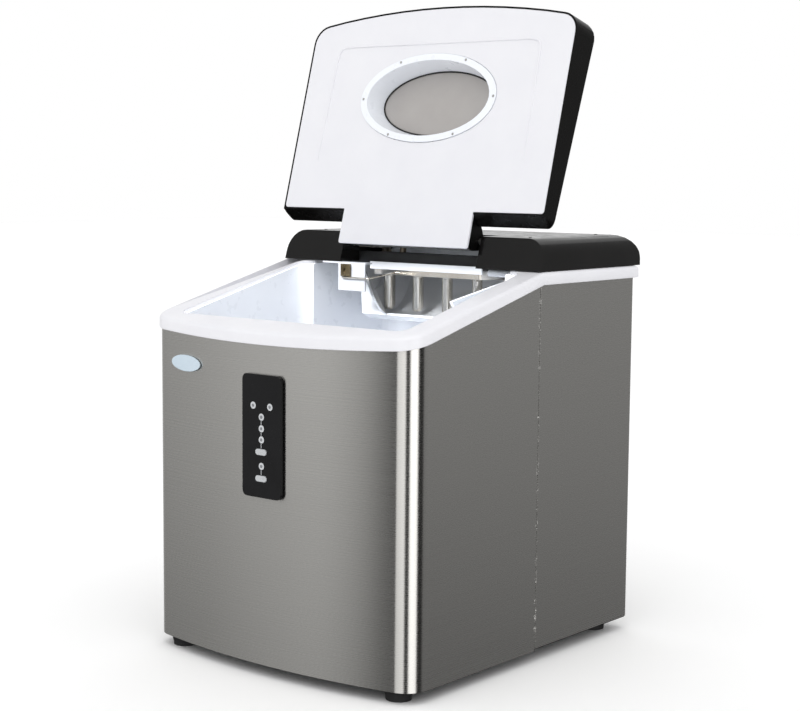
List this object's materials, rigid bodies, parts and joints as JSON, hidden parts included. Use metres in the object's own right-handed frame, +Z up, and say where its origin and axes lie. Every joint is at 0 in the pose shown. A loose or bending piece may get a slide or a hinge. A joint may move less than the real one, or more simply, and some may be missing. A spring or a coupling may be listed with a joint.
{
  "type": "ice maker",
  "caption": "Countertop ice maker with a bowed steel cabinet, black rear cover, hinged lid with an oval window, lift-out basket, tilting water tray and a fingered evaporator.",
  "frame": {"origin": "on the floor under the middle of the whole object's bounding box", "axes": "+Z up, -Y towards the front with the control panel, +X to the right seen from the front"},
  "size_m": [0.3048, 0.3512, 0.578],
  "materials": {
    "aluminium": "rolled fin stock",
    "badge": "satin, blank",
    "black_matte": "moulded, fine grain",
    "black_plastic": "satin gloss",
    "board": "solder mask",
    "bronze": "dull",
    "button_grey": "satin",
    "copper": "drawn tube",
    "dark_metal": "black enamel",
    "galvanised": "galvanised",
    "grey_metal": "grey",
    "lens": "translucent lens",
    "liner_white": "moulded, soft gloss, faintly blue",
    "nickel": "nickel plated, warm",
    "panel_black": "high gloss",
    "pump_blue": "moulded",
    "rubber": "moulded",
    "smoked_glass": "smoked, clear",
    "steel": "horizontally brushed, satin",
    "steel_dark": "horizontally brushed, satin",
    "translucent": "milky translucent",
    "white_plastic": "moulded, soft gloss",
    "zinc": "zinc plated"
  },
  "bodies": {
    "cabinet": {"base_pan": "black_matte", "feet": "rubber", "front_wrap": "steel", "rear_wrap": "steel_dark", "rear_grille": "black_matte", "top_rim": "white_plastic", "tank_liner": "liner_white", "rear_cover": "black_plastic", "cover_screws": "zinc", "hinge_pins": "zinc", "control_bezel": "panel_black", "led_windows": "lens", "control_board": "board", "badge_plate": "badge", "evaporator_plate": "nickel", "evaporator_fingers": "nickel", "evaporator_tube": "copper", "support_bar": "black_matte", "splash_guard": "translucent", "tray_motor": "grey_metal", "motor_bracket": "galvanised", "tray_bushing": "white_plastic", "sensor_bracket": "liner_white", "ice_sensor": "bronze", "sensor_rod": "nickel", "water_pump": "pump_blue", "pump_hose": "translucent", "level_probe": "zinc", "compressor": "dark_metal", "compressor_mounts": "rubber", "condenser": "aluminium", "fan_shroud": "black_matte", "fan_motor": "grey_metal", "filter_drier": "copper", "refrigerant_pipes": "copper", "solenoid_valve": "grey_metal", "power_board": "board", "cord_gland": "black_matte", "drain_spout": "black_matte", "base_screws": "zinc"},
    "lid": {"lid_shell": "black_plastic", "lid_panel": "white_plastic", "window_well": "white_plastic", "window_pane": "smoked_glass", "lid_screws": "zinc"},
    "tray": {"water_tray": "translucent"},
    "select_key": {"select_button": "button_grey"},
    "power_key": {"power_button": "button_grey"},
    "basket": {"ice_basket": "translucent"},
    "fan": {"fan_rotor": "black_matte"},
    "plug": {"drain_plug": "rubber"}
  },
  "joints": [
    {"name": "lid_hinge", "type": "hinge", "parent": "cabinet", "child": "lid", "pos_m": [0, 0.0282, 0.366], "axis": [-1, 0, 0], "range_deg": [-119.5, 0]},
    {"name": "tray_tilt", "type": "hinge", "parent": "cabinet", "child": "tray", "pos_m": [0, 0.0666, 0.336], "axis": [-1, 0, 0], "range_deg": [0, 34]},
    {"name": "select_press", "type": "slide", "parent": "cabinet", "child": "select_key", "axis": [0, 1, 0], "range_m": [0, 0.0008], "stiffness_N_per_m": 600, "springref_m": -0.0006},
    {"name": "power_press", "type": "slide", "parent": "cabinet", "child": "power_key", "axis": [0, 1, 0], "range_m": [0, 0.0008], "stiffness_N_per_m": 600, "springref_m": -0.0006},
    {"name": "basket_lift", "type": "slide", "parent": "cabinet", "child": "basket", "axis": [0, 0, 1], "range_m": [0, 0.18]},
    {"name": "fan_spin", "type": "hinge", "parent": "cabinet", "child": "fan", "pos_m": [-0.058, 0.1136, 0.132], "axis": [0, 1, 0], "continuous": true},
    {"name": "plug_pull", "type": "slide", "parent": "cabinet", "child": "plug", "axis": [0, 1, 0], "range_m": [0, 0.014]}
  ]
}
